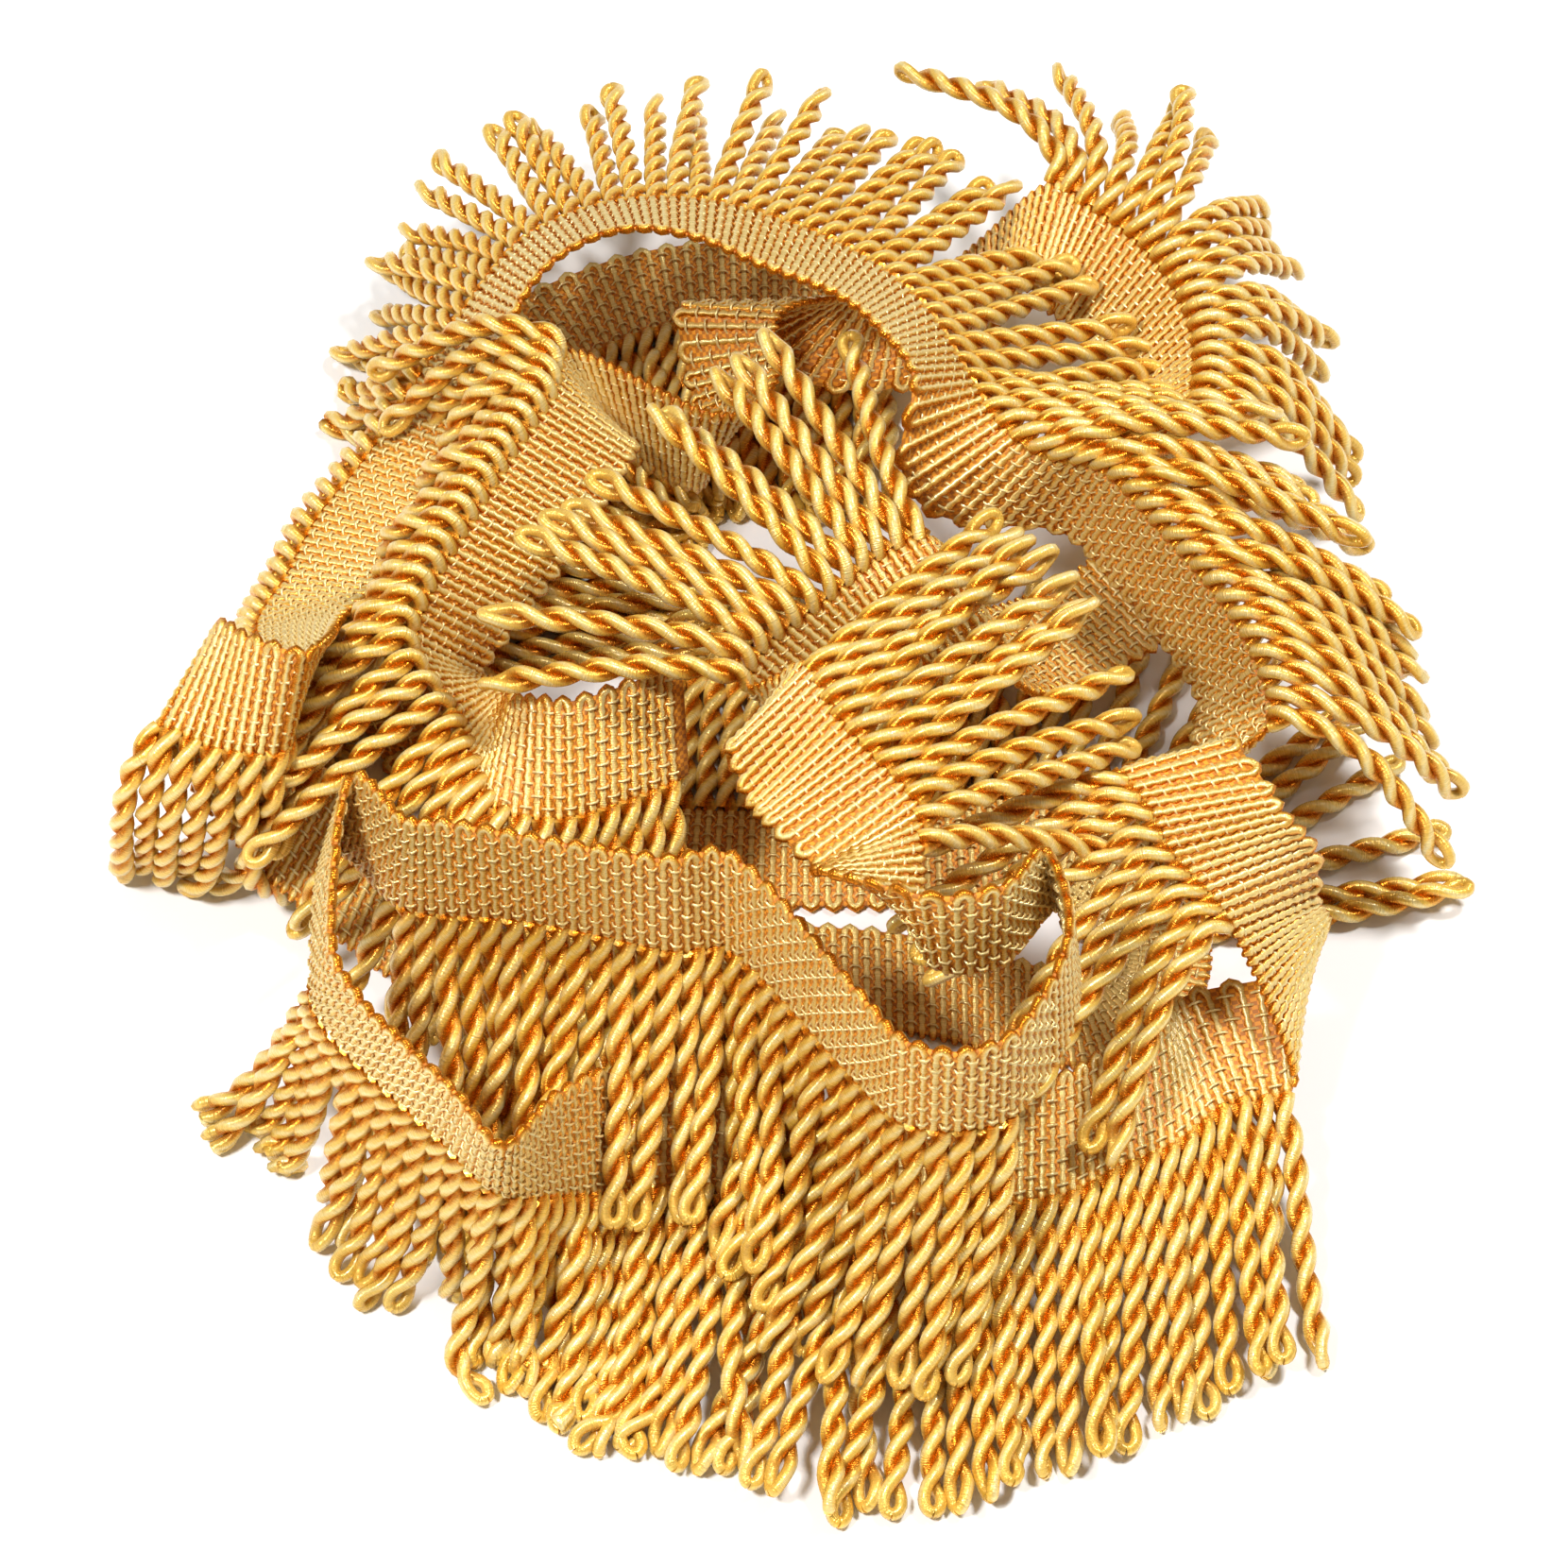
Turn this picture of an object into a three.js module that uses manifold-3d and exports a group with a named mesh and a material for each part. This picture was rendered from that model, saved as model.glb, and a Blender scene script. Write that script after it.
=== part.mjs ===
// Gold bullion fringe: a woven heading tape with looped twisted cords, lying in a loose wound heap.
// The trim is one length. Its path is a table of rows, and the cords settle against each other and the tape.
import * as THREE from 'three';
import Module from 'manifold-3d';

// Driving dimensions in millimetres
const HEADING_DEPTH = 17;
const HEADING_THICKNESS = 2;
const FACET_SHORTEST = 2;
const FACET_LONGEST = 14;
const FACET_TURN = 0.13;
const STRIP_DEPTH = 1.8;
const SEAM_GAP = 0.4;
const CORD_LENGTH = 38;
const CORD_DIAMETER = 3.5;
const CORD_PITCH = 3.1;
const CORD_SECTION_RADIUS = 1.2;
const CORD_ROOT_RADIUS = 0.8;
const CORD_SHORTEST = 6;

// How much the cords differ from each other
const SWAY = 0.15;
const LENGTH_SPREAD = 0.03;

// How the cords settle
const CORD_POINTS = 13;
const BEND_SHARE = 0.45;
const HELD_POINTS = 2;
const ROOT_POINTS = 3;
const SETTLE_ROUNDS = 120;
const LENGTH_PASSES = 2;
const TAPE_CLEARANCE = CORD_DIAMETER / 2 + 1.2;
const PUSH_SHARE = 0.9;
const PULL_BACK = 0.03;
const STIFFNESS = 0.15;
const PAIR_ROUNDS = 4;
const PAIR_MARGIN = 1.5;
const SETTLE_GRID = { spacing: 3, across: 6 };
const EDGE_INSET = 0.5;

// How the solids follow the settled cords and the tape
const CORD_KNOTS = [3, 7, 12];
const STEP = 1;
const ROOT_STEPS = 6;
const CORD_GAP = 2 * CORD_SECTION_RADIUS + SEAM_GAP;
const TAPE_GAP = CORD_SECTION_RADIUS + HEADING_THICKNESS / 2 + 3 * SEAM_GAP;
const TRIM_GRID = { spacing: 2, across: 10 };
const FINE = 24;

// The trim's path, run by run, from the flat bed underneath to the small loop inside.
// Columns: x, y and z of the tape's corded edge, turn and tilt of the tape, turn and tilt of the cords.
// A turn is measured in plan from +X, and a tilt up from the floor, both in degrees.
const RUNS = [
  { name: 'bed_back', corded: true, rows: [
    [16, 121, 1, 90, 0, -90, 0],
    [10, 123, 1, 90, 0, -90, 0],
    [-8, 124, 1, 92, 0, -88, 0],
    [-24, 120, 1, 108, 0, -75, 0],
  ] },
  { name: 'bed_corner', corded: true, rows: [
    [-41, 107, 1, 140, 0, -42, 0],
  ] },
  { name: 'bed_left', corded: true, rows: [
    [-50, 88, 1, 172, 0, -8, 0],
    [-51, 71, 1, 180, 0, 0, 0],
    [-47, 54, 1, -162, 0, 12, 0],
  ] },
  { name: 'bed_turn', corded: false, rows: [
    [-34, 38, 1, -122, 0, 55, 0],
  ] },
  { name: 'bed_front', corded: true, rows: [
    [-18, 33, 1, -98, 0, 82, 0],
    [-4, 32, 1, -92, 0, 88, 0],
    [16, 32, 1, -90, 0, 90, 0],
  ] },
  { name: 'bed_side', corded: true, rows: [
    [36, 34, 1, -90, 0, 90, 0],
  ] },
  { name: 'bed_right', corded: true, rows: [
    [52, 27, 1, -130, 0, 50, 0],
    [60, 8, 1, 180, 0, 0, 0],
  ] },
  { name: 'bed_end', corded: false, rows: [
    [53, -7, 1, 130, 0, -45, 0],
  ] },
  { name: 'base', corded: false, rows: [
    [38, -11, 1, 92, 0, -90, 0],
    [20, -6, 1, 90, 0, -90, 0],
    [0, -4, 1, 90, 0, -90, 0],
    [-25, -5, 1, 90, 0, -90, 0],
    [-44, -4, 1, 85, 0, -100, 0],
    [-70, 12, 10, 60, 20, -110, -20],
  ] },
  { name: 'left_tuft', corded: true, rows: [
    [-86, 22, 34, 60, 10, 110, -82],
    [-77, 18, 36, 70, 45, 110, -82],
    [-68, 19, 36, 50, 68, 120, -82],
  ] },
  { name: 'left_side', corded: true, rows: [
    [-73, 39, 29, -20, 45, -10, -70],
    [-75, 51, 21, -22, 32, -10, -50],
    [-72, 62, 17, -27, 24, -20, -45],
    [-68, 73, 17, -32, 22, -30, -45],
    [-61, 84, 18, -38, 22, -40, -50],
    [-54, 94, 23, -45, 25, 125, -75],
  ] },
  { name: 'back_arch', corded: true, rows: [
    [-46, 101, 32, -60, 35, 125, -40],
    [-38, 110, 36, -70, 35, 120, -32],
    [-26, 115, 38, -80, 35, 105, -20],
    [-13, 114, 40, -90, 30, 85, -20],
    [0, 108, 42, -100, 25, 75, -20],
    [12, 99, 44, -110, 30, 60, -25],
    [20, 89, 45, -120, 35, 45, -25],
    [26, 77, 44, -130, 40, 25, -25],
    [30, 70, 43, -145, -5, 15, -25],
  ] },
  { name: 'right_side', corded: true, rows: [
    [36, 65, 42, -165, -50, 10, -25],
    [45, 62, 42, 170, -70, 0, -32],
    [53, 52, 41, 165, -70, 0, -42],
    [60, 42, 40, 170, -70, 5, -50],
    [65, 33, 38, 165, -65, 5, -58],
    [67, 24, 34, 165, -50, -20, -55],
  ] },
  { name: 'right_turn', corded: false, rows: [
    [57, 17, 34, -40, -70, -40, -40],
  ] },
  { name: 'right_fold', corded: true, rows: [
    [46, 12, 40, 20, -5, -165, -12],
    [49, 6, 40, 5, 10, -150, -20],
    [52, 0, 38, 10, 12, -128, -25],
    [57, -5, 35, 25, 0, -115, -28],
    [61, -9, 30, 40, -20, -100, -35],
  ] },
  { name: 'front_corner', corded: false, rows: [
    [66, -15, 21, 60, 0, -90, -30],
  ] },
  { name: 'front_right', corded: true, rows: [
    [69, -22, 13, 90, 25, -85, -20],
    [60, -24, 12, 110, 15, -88, -15],
    [53, -30, 12, 95, 15, -90, -15],
    [45, -34, 12, 95, 15, -92, -15],
    [38, -38, 12, 90, 20, -92, -15],
  ] },
  { name: 'front', corded: true, rows: [
    [31, -40, 13, 88, 35, -95, -15],
    [22, -44, 13, 88, 38, -95, -15],
    [14, -45, 12, 88, 28, -100, -15],
    [5, -42, 10, 86, 14, -103, -12],
    [-4, -38, 9, 86, 12, -100, -12],
    [-12, -35, 9, 88, 14, -98, -14],
  ] },
  { name: 'front_left', corded: true, rows: [
    [-21, -37, 11, 90, 30, -97, -32],
    [-29, -43, 20, 95, 66, -95, -62],
    [-37, -49, 31, -60, 80, -92, -78],
    [-45, -43, 36, -45, 72, -100, -80],
    [-53, -35, 36, -40, 68, -110, -78],
    [-60, -26, 34, -40, 66, -115, -80],
    [-63, -16, 30, -30, 75, 180, -65],
  ] },
  { name: 'left_turn', corded: false, rows: [
    [-62, 5, 30, 20, 75, -125, -70],
  ] },
  { name: 'left_bowl', corded: true, rows: [
    [-52, -6, 34, 60, 78, -100, -50],
    [-45, -9, 36, 90, 75, -95, -42],
    [-36, -11, 38, 90, 80, -98, -36],
    [-25, -14, 39, 90, 80, -100, -34],
    [-15, -16, 38, 90, 76, -95, -33],
    [-6, -15, 35, 90, 72, -90, -30],
  ] },
  { name: 'front_fold', corded: true, rows: [
    [9, -33, 34, 80, 80, -125, -40],
    [15, -41, 36, 88, 82, -112, -42],
    [23, -43, 37, 90, 84, -108, -42],
    [31, -39, 36, 95, 80, -100, -42],
  ] },
  { name: 'front_turn', corded: false, rows: [
    [38, -27, 40, 120, 80, -60, -60],
    [36, -15, 46, -150, 80, 20, -70],
  ] },
  { name: 'crown_fold', corded: false, rows: [
    [28, -25, 48, 90, 84, 60, -75],
    [19, -25, 49, 180, 80, 80, -75],
  ] },
  { name: 'crown', corded: true, rows: [
    [18, -11, 52, -155, 25, 30, -35],
    [17, -3, 54, -142, -5, 35, -15],
    [12, 3, 55, -150, -18, 38, 0],
    [7, 10, 55, -140, -20, 42, 0],
    [3, 19, 54, -130, -5, 55, -12],
  ] },
  { name: 'crown_turn', corded: false, rows: [
    [-1, 20, 50, -80, -60, 120, -10],
  ] },
  { name: 'centre', corded: true, rows: [
    [-5, 22, 45, 20, -60, -175, -20],
    [-3, 28, 46, 0, -55, 160, 0],
    [3, 33, 47, -10, -50, 150, -5],
    [8, 37, 48, -30, -50, 135, 0],
    [13, 42, 48, -45, -40, 120, -5],
    [20, 46, 47, -55, -20, 100, 0],
  ] },
  { name: 'under_turn', corded: false, rows: [
    [25, 50, 32, -60, -20, 60, -10],
  ] },
  { name: 'under_right', corded: false, rows: [
    [29, 54, 20, -50, -10, 140, -10],
    [44, 66, 15, -50, -10, 140, -10],
  ] },
  { name: 'under_rise', corded: false, rows: [
    [52, 73, 25, -80, -45, 60, -10],
  ] },
  { name: 'back_right', corded: true, rows: [
    [58, 78, 34, 175, -45, -5, -55],
    [60, 92, 33, -165, -45, 25, -62],
    [58, 103, 32, -155, -45, 55, -55],
    [54, 112, 31, -145, -45, 72, -35],
    [49, 118, 31, -135, -45, 85, -35],
    [44, 122, 31, -115, -35, 110, -30],
    [39, 125, 31, -105, -30, 145, -15],
  ] },
  { name: 'under_back', corded: false, rows: [
    [22, 118, 18, -90, -20, 100, -10],
  ] },
  { name: 'under_arch', corded: false, rows: [
    [1, 104, 28, 165, -15, 50, -35],
    [-1, 97, 26, 165, -30, 45, -35],
    [-2, 90, 26, 165, -45, 40, -35],
  ] },
  { name: 'under_left', corded: false, rows: [
    [-10, 82, 30, -160, -80, -75, -25],
  ] },
  { name: 'inner_left', corded: true, rows: [
    [-30, 87, 38, -50, -60, 165, -40],
    [-33, 76, 42, -5, -45, 180, -80],
    [-39, 63, 43, -5, -42, 185, -84],
    [-44, 52, 43, 0, -42, 188, -84],
    [-49, 42, 41, 10, -48, 190, -80],
    [-51, 34, 38, 30, -55, -150, -55],
    [-45, 25, 34, 60, -30, -150, -45],
  ] },
  { name: 'small_loop', corded: true, rows: [
    [-40, 12, 32, 80, 10, -105, -60],
    [-31, 10, 31, 90, 45, -90, -60],
    [-22, 13, 31, 90, 50, -85, -60],
    [-13, 18, 30, 95, 50, -80, -60],
  ] },
];

// Finishes
const HEADING_FINISH = { color: 0xd99a3c, roughness: 0.6, metalness: 0 };
const CORD_FINISH = { color: 0xe8b552, roughness: 0.45, metalness: 0 };

// Small helpers
const UP = new THREE.Vector3(0, 0, 1);

function aim(turn, tilt) {
  const a = THREE.MathUtils.degToRad(turn);
  const b = THREE.MathUtils.degToRad(tilt);
  return new THREE.Vector3(Math.cos(b) * Math.cos(a), Math.cos(b) * Math.sin(a), Math.sin(b));
}

// A fixed, even spread of values from -1 to 1
const SPREAD = { count: 12.9898, kind: 78.233, scale: 43758.5453 };

function spread(count, kind) {
  const value = Math.sin(count * SPREAD.count + kind * SPREAD.kind) * SPREAD.scale;
  return 2 * (value - Math.floor(value)) - 1;
}

// The path: one row after another, joined by smooth curves
const PATH = RUNS.flatMap((run) => run.rows.map(([x, y, z, tapeTurn, tapeTilt, cordTurn, cordTilt]) => ({
  run,
  edge: new THREE.Vector3(x, y, z),
  tape: aim(tapeTurn, tapeTilt),
  cord: aim(cordTurn, cordTilt),
})));
const LAST_ROW = PATH.length - 1;

function smooth(field, t) {
  const k = Math.min(Math.floor(t), LAST_ROW - 1);
  const f = t - k;
  const rows = [k - 1, k, k + 1, k + 2].map((i) => THREE.MathUtils.clamp(i, 0, LAST_ROW));
  const [a, b, c, d] = rows.map((i) => PATH[i][field]);
  const at = (axis) => 0.5 * (2 * b[axis] + (c[axis] - a[axis]) * f
    + (2 * a[axis] - 5 * b[axis] + 4 * c[axis] - d[axis]) * f * f
    + (3 * b[axis] - a[axis] - 3 * c[axis] + d[axis]) * f * f * f);
  return new THREE.Vector3(at('x'), at('y'), at('z'));
}

// Distance along the corded edge, in fine steps of the row number
const ARC = [0];
for (let i = 1, last = smooth('edge', 0); i <= LAST_ROW * FINE; i += 1) {
  const next = smooth('edge', i / FINE);
  ARC.push(ARC[i - 1] + next.distanceTo(last));
  last = next;
}
const TRIM_LENGTH = ARC[ARC.length - 1];

function rowAt(distance) {
  let low = 0;
  let high = ARC.length - 1;
  while (high - low > 1) {
    const middle = (low + high) >> 1;
    if (ARC[middle] <= distance) low = middle;
    else high = middle;
  }
  const share = THREE.MathUtils.clamp((distance - ARC[low]) / (ARC[high] - ARC[low]), 0, 1);
  return (low + share) / FINE;
}

// The tape's edge, directions and face at a distance along the trim
function section(distance) {
  const row = rowAt(distance);
  const ahead = smooth('edge', rowAt(Math.min(distance + STEP, TRIM_LENGTH)));
  const behind = smooth('edge', rowAt(Math.max(distance - STEP, 0)));
  const along = ahead.sub(behind).normalize();
  const tape = smooth('tape', row).normalize();
  return {
    row,
    along,
    tape,
    edge: smooth('edge', row),
    cord: smooth('cord', row).normalize(),
    face: new THREE.Vector3().crossVectors(along, tape).normalize(),
  };
}

// The run that owns a place on the path: a join between two runs is split halfway
function runAt(row) {
  return PATH[Math.round(row)].run;
}

function isCorded(row) {
  return PATH[Math.floor(row)].run.corded && PATH[Math.min(Math.floor(row) + 1, LAST_ROW)].run.corded;
}

// Cords as they would leave the tape if nothing stood in their way
function layCords() {
  const cords = [];
  for (let i = 0; (i + 0.5) * CORD_PITCH < TRIM_LENGTH; i += 1) {
    const distance = (i + 0.5) * CORD_PITCH;
    const place = section(distance);
    if (!isCorded(place.row)) continue;
    const aimed = place.cord.clone()
      .addScaledVector(place.along, SWAY * spread(i, 1))
      .addScaledVector(UP, SWAY * spread(i, 2))
      .normalize();
    const step = CORD_LENGTH * (1 + LENGTH_SPREAD * spread(i, 3)) / (CORD_POINTS - 1);
    const points = [place.edge.clone()];
    for (let j = 1; j < CORD_POINTS; j += 1) {
      const share = Math.min((j - 0.5) / (CORD_POINTS * BEND_SHARE), 1);
      const turned = share * share * (3 - 2 * share);
      const forward = place.tape.clone().multiplyScalar(turned - 1).addScaledVector(aimed, turned);
      forward.normalize();
      points.push(points[j - 1].clone().addScaledVector(forward, step));
    }
    cords.push({ distance, place, run: runAt(place.row), points });
  }
  return cords;
}

// Points spread over the tape, which cords keep clear of
function tapePoints({ spacing, across }) {
  const points = [];
  for (let distance = 0; distance < TRIM_LENGTH; distance += spacing) {
    const place = section(distance);
    for (let j = 0; j < across; j += 1) {
      const depth = EDGE_INSET + (HEADING_DEPTH - 2 * EDGE_INSET) * j / (across - 1);
      points.push({ distance, at: place.edge.clone().addScaledVector(place.tape, depth) });
    }
  }
  return points;
}

// A book of cells, for finding the points near a place
function cellBook(items, size) {
  const book = new Map();
  const key = (v, dx, dy, dz) => `${Math.floor(v.x / size) + dx},${Math.floor(v.y / size) + dy},`
    + `${Math.floor(v.z / size) + dz}`;
  for (const item of items) {
    const cell = key(item.at, 0, 0, 0);
    if (!book.has(cell)) book.set(cell, []);
    book.get(cell).push(item);
  }
  return (place) => {
    const found = [];
    for (const dx of [-1, 0, 1]) {
      for (const dy of [-1, 0, 1]) {
        for (const dz of [-1, 0, 1]) found.push(...(book.get(key(place, dx, dy, dz)) ?? []));
      }
    }
    return found;
  };
}

// Cords push each other apart, lie on the tape and the floor, and keep their length
function settleCords(cords, tape) {
  const points = cords.flatMap((cord, c) => cord.points.map((at, j) => ({
    cord: c, j, at, rest: at.clone(), push: new THREE.Vector3(), hits: 0,
  })));
  const steps = cords.map((cord) => cord.points[1].distanceTo(cord.points[0]));
  const nearTape = cellBook(tape, TAPE_CLEARANCE + PAIR_MARGIN);
  let pairs = [];
  let tapePairs = [];
  const away = new THREE.Vector3();
  for (let round = 0; round < SETTLE_ROUNDS; round += 1) {
    if (round % PAIR_ROUNDS === 0) {
      const near = cellBook(points, CORD_DIAMETER + PAIR_MARGIN);
      const free = points.filter((a) => a.j >= ROOT_POINTS);
      pairs = points.flatMap((a) => near(a.at).filter((b) => b.cord > a.cord).map((b) => [a, b]));
      tapePairs = free.flatMap((a) => nearTape(a.at).map((b) => [a, b]));
    }
    for (const point of points) {
      point.push.set(0, 0, 0);
      point.hits = 0;
    }
    for (const [a, b] of pairs) {
      const gap = away.subVectors(a.at, b.at).length();
      if (gap >= CORD_DIAMETER || gap === 0) continue;
      away.setLength((CORD_DIAMETER - gap) / 2);
      a.push.add(away);
      b.push.sub(away);
      a.hits += 1;
      b.hits += 1;
    }
    for (const [a, b] of tapePairs) {
      const gap = away.subVectors(a.at, b.at).length();
      if (gap >= TAPE_CLEARANCE || gap === 0) continue;
      a.push.add(away.setLength(TAPE_CLEARANCE - gap));
      a.hits += 1;
    }
    for (const point of points) {
      if (point.j < HELD_POINTS) continue;
      if (point.hits) point.at.addScaledVector(point.push, PUSH_SHARE / point.hits);
      point.at.z = Math.max(point.at.z, CORD_DIAMETER / 2);
      point.at.lerp(point.rest, PULL_BACK);
    }
    cords.forEach((cord, c) => {
      const line = cord.points;
      for (let pass = 0; pass < LENGTH_PASSES; pass += 1) {
        for (let j = HELD_POINTS; j < CORD_POINTS; j += 1) {
          away.subVectors(line[j], line[j - 1]).setLength(steps[c]);
          line[j].addVectors(line[j - 1], away);
        }
        for (let j = HELD_POINTS; j < CORD_POINTS - 1; j += 1) {
          away.addVectors(line[j - 1], line[j + 1]).multiplyScalar(0.5);
          line[j].lerp(away, STIFFNESS);
        }
      }
      for (const at of line) at.z = Math.max(at.z, CORD_DIAMETER / 2);
    });
  }
}

// A cord's solid follows a few of its settled points, and ends where it would run into something else
function cordLine(cord) {
  const root = cord.place.edge.clone().addScaledVector(cord.place.tape, STRIP_DEPTH / 2);
  return [root, ...CORD_KNOTS.map((j) => cord.points[j])];
}

function lineSamples(line) {
  const samples = [];
  for (let k = 1; k < line.length; k += 1) {
    const count = Math.ceil(line[k].distanceTo(line[k - 1]) / STEP);
    for (let i = 1; i <= count; i += 1) {
      samples.push({ k, at: line[k - 1].clone().lerp(line[k], i / count) });
    }
  }
  return samples;
}

function trimCords(cords, tape) {
  const nearTape = cellBook(tape, TAPE_GAP);
  const placed = [];
  const kept = [];
  for (const cord of cords) {
    const line = cordLine(cord);
    const samples = lineSamples(line);
    const nearCords = cellBook(placed, CORD_GAP);
    let end = samples.length;
    for (let i = 0; i < samples.length && end === samples.length; i += 1) {
      const { at } = samples[i];
      const ownRoot = (other) => i < ROOT_STEPS && Math.abs(other.distance - cord.distance) < 2 * CORD_PITCH;
      const hitsTape = nearTape(at).some((other) => !ownRoot(other) && other.at.distanceTo(at) < TAPE_GAP);
      const hitsCord = nearCords(at).some((other) => other.at.distanceTo(at) < CORD_GAP);
      if (hitsTape || hitsCord) end = i;
    }
    if (end < CORD_SHORTEST) continue;
    const last = samples[end - 1];
    const solidLine = [...line.slice(0, last.k), last.at];
    if (solidLine.length > 2 && last.at.distanceTo(solidLine[solidLine.length - 2]) < STEP) {
      solidLine.splice(solidLine.length - 2, 1);
    }
    placed.push(...samples.slice(0, end));
    kept.push({ ...cord, line: solidLine });
  }
  return kept;
}

// Solids
const wasm = await Module();
wasm.setup();

function toSolid(points, index) {
  return new wasm.Manifold(new wasm.Mesh({
    numProp: 3,
    vertProperties: new Float32Array(points.flatMap((point) => point.toArray())),
    triVerts: new Uint32Array(index),
  }));
}

function toMesh(name, solid, finish) {
  const { vertProperties, triVerts } = solid.getMesh();
  const geometry = new THREE.BufferGeometry();
  geometry.setAttribute('position', new THREE.BufferAttribute(vertProperties, 3));
  geometry.setIndex(new THREE.BufferAttribute(triVerts, 1));
  geometry.computeVertexNormals();
  const mesh = new THREE.Mesh(geometry, new THREE.MeshStandardMaterial(finish));
  mesh.name = name;
  return mesh;
}

// The four corners of the tape's section between two depths, no lower than the floor
function corners(distance, { from, to, thickness }) {
  const { edge, tape, face } = section(distance);
  const half = thickness / 2;
  return [[from, -half], [to, -half], [to, half], [from, half]].map(([depth, height]) => {
    const corner = edge.clone().addScaledVector(tape, depth).addScaledVector(face, height);
    corner.z = Math.max(corner.z, 0);
    return corner;
  });
}

// Places along the tape where its facets meet, closer together where it turns
function facetEnds() {
  const ends = [0];
  let first = section(0);
  for (let distance = FACET_SHORTEST; distance < TRIM_LENGTH - FACET_SHORTEST; distance += STEP) {
    const here = section(distance);
    const turned = Math.max(here.tape.angleTo(first.tape), here.along.angleTo(first.along));
    const long = distance - ends[ends.length - 1];
    if (long < FACET_SHORTEST || (turned < FACET_TURN && long < FACET_LONGEST)) continue;
    ends.push(distance);
    first = here;
  }
  return [...ends, TRIM_LENGTH];
}
const FACET_ENDS = facetEnds();

// A ribbon of the tape: its sections joined edge to edge
function ribbon(start, end, shape) {
  const inside = FACET_ENDS.filter((distance) => distance > start + STEP && distance < end - STEP);
  const positions = [start, ...inside, end].flatMap((distance) => corners(distance, shape));
  const sides = 4;
  const last = positions.length - sides;
  const index = [0, 2, 1, 0, 3, 2, last, last + 1, last + 2, last, last + 2, last + 3];
  for (let k = 0; k < last; k += sides) {
    for (let s = 0; s < sides; s += 1) {
      const a = k + s;
      const b = k + (s + 1) % sides;
      index.push(a, b, a + sides, b, b + sides, a + sides);
    }
  }
  return toSolid(positions, index);
}

// A three-sided cord along a line, narrowed at the root where the strip holds it
function cordSolid({ line, place }) {
  const sides = 3;
  const positions = [];
  const index = [];
  let across = place.along.clone();
  line.forEach((at, k) => {
    const ahead = line[Math.min(k + 1, line.length - 1)];
    const behind = line[Math.max(k - 1, 0)];
    const forward = ahead.clone().sub(behind).normalize();
    across = across.clone().addScaledVector(forward, -across.dot(forward)).normalize();
    const over = new THREE.Vector3().crossVectors(forward, across);
    const radius = k === 0 ? CORD_ROOT_RADIUS : CORD_SECTION_RADIUS;
    for (let s = 0; s < sides; s += 1) {
      const angle = 2 * Math.PI * s / sides;
      positions.push(at.clone()
        .addScaledVector(across, radius * Math.cos(angle))
        .addScaledVector(over, radius * Math.sin(angle)));
      if (k === 0) continue;
      const a = (k - 1) * sides + s;
      const b = (k - 1) * sides + (s + 1) % sides;
      index.push(a, b, a + sides, b, b + sides, a + sides);
    }
  });
  const tip = (line.length - 1) * sides;
  index.push(0, 2, 1, tip, tip + 1, tip + 2);
  return toSolid(positions, index);
}

// The fringe: for each run, a narrow strip beside the tape with its cords rooted in it
const HEADING = { from: STRIP_DEPTH + SEAM_GAP, to: HEADING_DEPTH, thickness: HEADING_THICKNESS };
const STRIP = { from: 0, to: STRIP_DEPTH, thickness: HEADING_THICKNESS };
const trim = new THREE.Group();
const cords = layCords();
settleCords(cords, tapePoints(SETTLE_GRID));
const solidCords = trimCords(cords, tapePoints(TRIM_GRID));
for (const run of RUNS.filter((each) => each.corded)) {
  const own = solidCords.filter((cord) => cord.run === run);
  const start = own[0].distance - CORD_PITCH / 2 + SEAM_GAP;
  const end = own[own.length - 1].distance + CORD_PITCH / 2 - SEAM_GAP;
  const fringe = own.reduce((solid, cord) => solid.add(cordSolid(cord)), ribbon(start, end, STRIP));
  trim.add(toMesh(`fringe_${run.name}`, fringe, CORD_FINISH));
}

// The heading tape, woven in one piece
trim.add(toMesh('heading_tape', ribbon(0, TRIM_LENGTH, HEADING), HEADING_FINISH));

export default trim;
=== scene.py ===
import math
import bpy
import numpy as np
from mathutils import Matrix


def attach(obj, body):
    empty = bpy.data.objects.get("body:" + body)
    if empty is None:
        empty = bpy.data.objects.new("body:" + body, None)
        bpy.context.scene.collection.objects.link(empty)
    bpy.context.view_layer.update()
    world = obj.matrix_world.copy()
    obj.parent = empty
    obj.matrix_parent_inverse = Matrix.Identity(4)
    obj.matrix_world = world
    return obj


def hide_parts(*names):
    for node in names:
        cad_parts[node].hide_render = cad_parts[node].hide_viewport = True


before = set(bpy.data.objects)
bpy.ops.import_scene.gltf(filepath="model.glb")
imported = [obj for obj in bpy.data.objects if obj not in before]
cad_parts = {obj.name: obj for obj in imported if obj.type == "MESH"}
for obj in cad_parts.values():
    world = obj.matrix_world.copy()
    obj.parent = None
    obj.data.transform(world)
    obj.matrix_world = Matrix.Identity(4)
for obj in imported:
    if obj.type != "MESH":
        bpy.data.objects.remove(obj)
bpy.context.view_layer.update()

# Tape ground: the thin web of gold rayon in the middle of the heading, woven as one long narrow strip.
# It lies in a loose heap, wound from a flat stretch underneath to a small loop inside.
# The ribs, the binding threads and the cords of the later sections are all worked into it.
MM = 0.001
TAPE_DEPTH = 17.0
WEB_THICKNESS = 0.5
WEB_START = 0.2
WEB_END = TAPE_DEPTH - 0.9
WEB_STEPS = 6
WEB_LOWEST = 0.3
WEAVE_COUNT = 1800
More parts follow.
